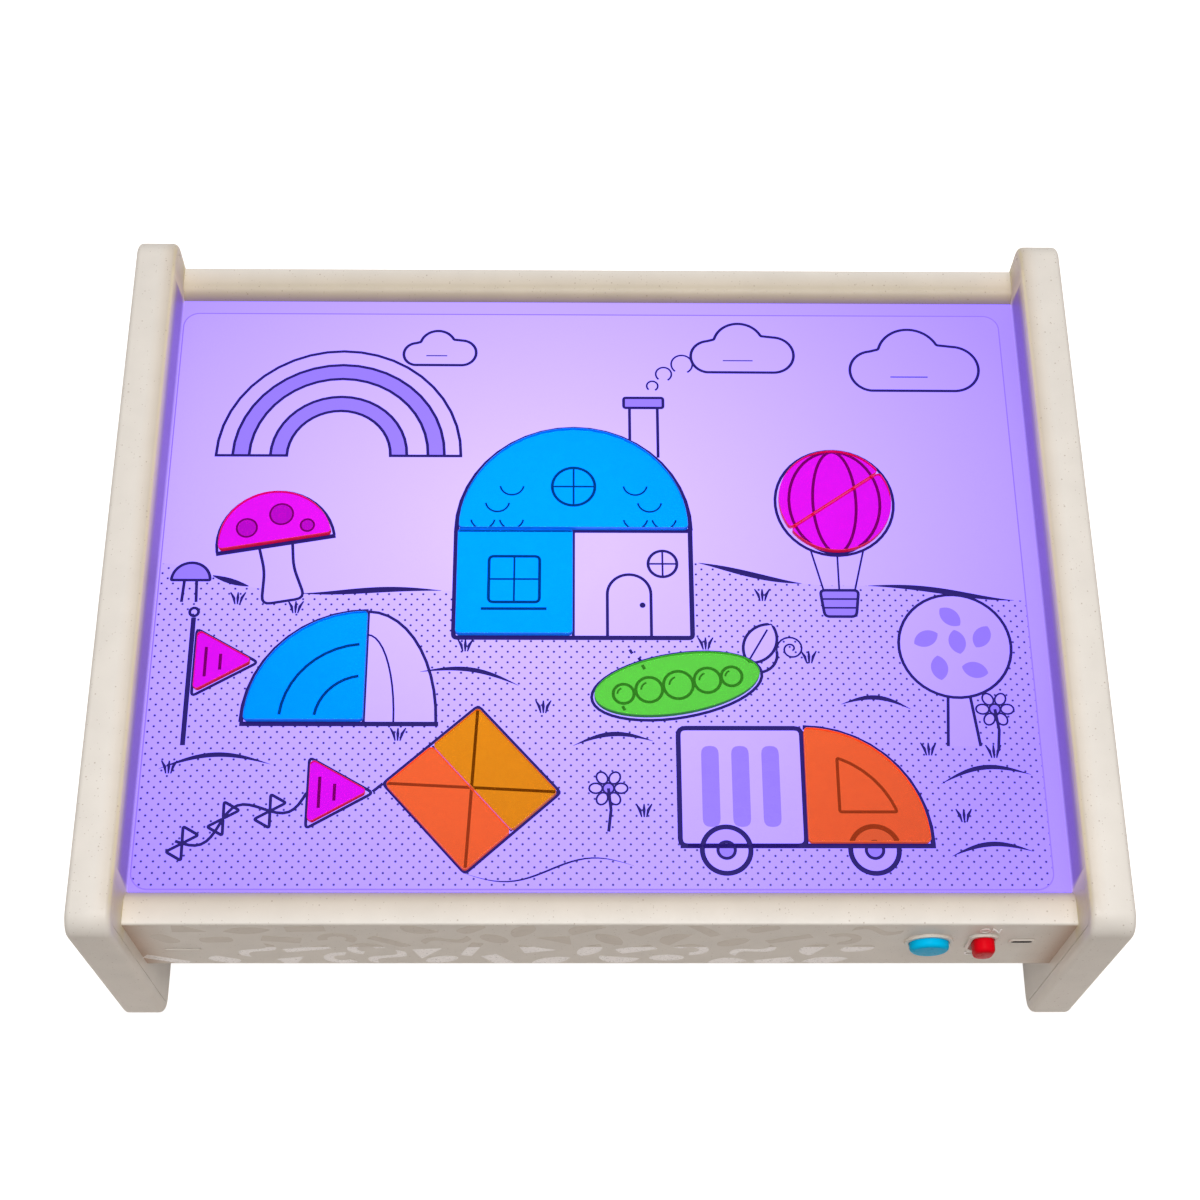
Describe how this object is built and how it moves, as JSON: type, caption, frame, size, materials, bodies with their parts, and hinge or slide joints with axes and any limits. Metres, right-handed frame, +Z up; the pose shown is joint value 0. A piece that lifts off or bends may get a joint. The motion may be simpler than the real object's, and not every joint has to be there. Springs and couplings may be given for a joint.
{
  "type": "learning light table",
  "caption": "Table-top light table with two side panels, a lit recessed plate, a picture card, loose translucent tiles, a push button and a sliding switch.",
  "frame": {"origin": "middle of the footprint, on the surface that the table stands on", "axes": "+X to the right along the front, +Y to the back, +Z up"},
  "size_m": [0.4, 0.311, 0.127],
  "materials": {
    "cream_plastic": "fine matt moulded plastic with small fibre specks",
    "steel": "zinc plated",
    "foot_rubber": "matt",
    "diffuser": "translucent opal, lit violet from below",
    "white_plastic": "matt white",
    "led_circuit": "white solder mask",
    "led_resin": "clear resin",
    "circuit_board": "green solder mask",
    "black_plastic": "matt",
    "button_blue": "satin",
    "knob_red": "satin",
    "cell_sleeve": "printed sleeve",
    "lead_red": "vinyl insulation",
    "lead_black": "vinyl insulation",
    "card_film": "translucent printed film",
    "tile_blue": "clear tinted, polished",
    "tile_magenta": "clear tinted, polished",
    "tile_green": "clear tinted, polished",
    "tile_amber": "clear tinted, polished",
    "tile_orange": "clear tinted, polished"
  },
  "bodies": {
    "table": {"left_panel_shell": "cream_plastic", "right_panel_shell": "cream_plastic", "left_panel_cover": "cream_plastic", "right_panel_cover": "cream_plastic", "body_frame": "cream_plastic", "bottom_cover": "cream_plastic", "panel_screws": "steel", "bottom_cover_screws": "steel", "board_screws": "steel", "battery_contacts": "steel", "battery_nut_plate": "steel", "power_inlet": "steel", "slide_switch": "steel", "foot_pads": "foot_rubber", "diffuser_plate": "diffuser", "reflector_tray": "white_plastic", "led_board": "led_circuit", "leds": "led_resin", "control_board": "circuit_board", "button_switch": "black_plastic", "inlet_tongue": "black_plastic", "battery_box": "black_plastic", "battery_cells": "cell_sleeve", "battery_leads": "lead_red", "led_leads": "lead_black"},
    "button": {"colour_button": "button_blue", "button_plunger": "white_plastic"},
    "switch_knob": {"power_knob": "knob_red"},
    "door": {"battery_door": "cream_plastic", "battery_door_screw": "steel"},
    "card": {"picture_card": "card_film"},
    "tile_blue_half_disc_body": {"tile_blue_half_disc": "tile_blue"},
    "tile_blue_square_body": {"tile_blue_square": "tile_blue"},
    "tile_blue_quarter_disc_body": {"tile_blue_quarter_disc": "tile_blue"},
    "tile_magenta_half_disc_a_body": {"tile_magenta_half_disc_a": "tile_magenta"},
    "tile_magenta_half_disc_b_body": {"tile_magenta_half_disc_b": "tile_magenta"},
    "tile_magenta_half_disc_c_body": {"tile_magenta_half_disc_c": "tile_magenta"},
    "tile_magenta_triangle_a_body": {"tile_magenta_triangle_a": "tile_magenta"},
    "tile_magenta_triangle_b_body": {"tile_magenta_triangle_b": "tile_magenta"},
    "tile_green_ellipse_body": {"tile_green_ellipse": "tile_green"},
    "tile_amber_bar_body": {"tile_amber_bar": "tile_amber"},
    "tile_orange_bar_body": {"tile_orange_bar": "tile_orange"},
    "tile_orange_quarter_disc_body": {"tile_orange_quarter_disc": "tile_orange"}
  },
  "joints": [
    {"name": "button_press", "type": "slide", "parent": "table", "child": "button", "axis": [0, 1, 0], "range_m": [0, 0.0012], "stiffness_N_per_m": 400},
    {"name": "switch_slide", "type": "slide", "parent": "table", "child": "switch_knob", "axis": [0, 0, 1], "range_m": [-0.006, 0]},
    {"name": "battery_door_swing", "type": "hinge", "parent": "table", "child": "door", "pos_m": [0, 0.05995, 0.0515], "axis": [1, 0, 0], "range_deg": [0, 58]},
    {"name": "card_lift", "type": "slide", "parent": "table", "child": "card", "axis": [0, 0, 1], "range_m": [0, 0.08]},
    {"name": "tile_blue_half_disc_lift", "type": "slide", "parent": "card", "child": "tile_blue_half_disc_body", "axis": [0, 0, 1], "range_m": [0, 0.06]},
    {"name": "tile_blue_square_lift", "type": "slide", "parent": "card", "child": "tile_blue_square_body", "axis": [0, 0, 1], "range_m": [0, 0.06]},
    {"name": "tile_blue_quarter_disc_lift", "type": "slide", "parent": "card", "child": "tile_blue_quarter_disc_body", "axis": [0, 0, 1], "range_m": [0, 0.06]},
    {"name": "tile_magenta_half_disc_a_lift", "type": "slide", "parent": "card", "child": "tile_magenta_half_disc_a_body", "axis": [0, 0, 1], "range_m": [0, 0.06]},
    {"name": "tile_magenta_half_disc_b_lift", "type": "slide", "parent": "card", "child": "tile_magenta_half_disc_b_body", "axis": [0, 0, 1], "range_m": [0, 0.06]},
    {"name": "tile_magenta_half_disc_c_lift", "type": "slide", "parent": "card", "child": "tile_magenta_half_disc_c_body", "axis": [0, 0, 1], "range_m": [0, 0.06]},
    {"name": "tile_magenta_triangle_a_lift", "type": "slide", "parent": "card", "child": "tile_magenta_triangle_a_body", "axis": [0, 0, 1], "range_m": [0, 0.06]},
    {"name": "tile_magenta_triangle_b_lift", "type": "slide", "parent": "card", "child": "tile_magenta_triangle_b_body", "axis": [0, 0, 1], "range_m": [0, 0.06]},
    {"name": "tile_green_ellipse_lift", "type": "slide", "parent": "card", "child": "tile_green_ellipse_body", "axis": [0, 0, 1], "range_m": [0, 0.06]},
    {"name": "tile_amber_bar_lift", "type": "slide", "parent": "card", "child": "tile_amber_bar_body", "axis": [0, 0, 1], "range_m": [0, 0.06]},
    {"name": "tile_orange_bar_lift", "type": "slide", "parent": "card", "child": "tile_orange_bar_body", "axis": [0, 0, 1], "range_m": [0, 0.06]},
    {"name": "tile_orange_quarter_disc_lift", "type": "slide", "parent": "card", "child": "tile_orange_quarter_disc_body", "axis": [0, 0, 1], "range_m": [0, 0.06]}
  ]
}
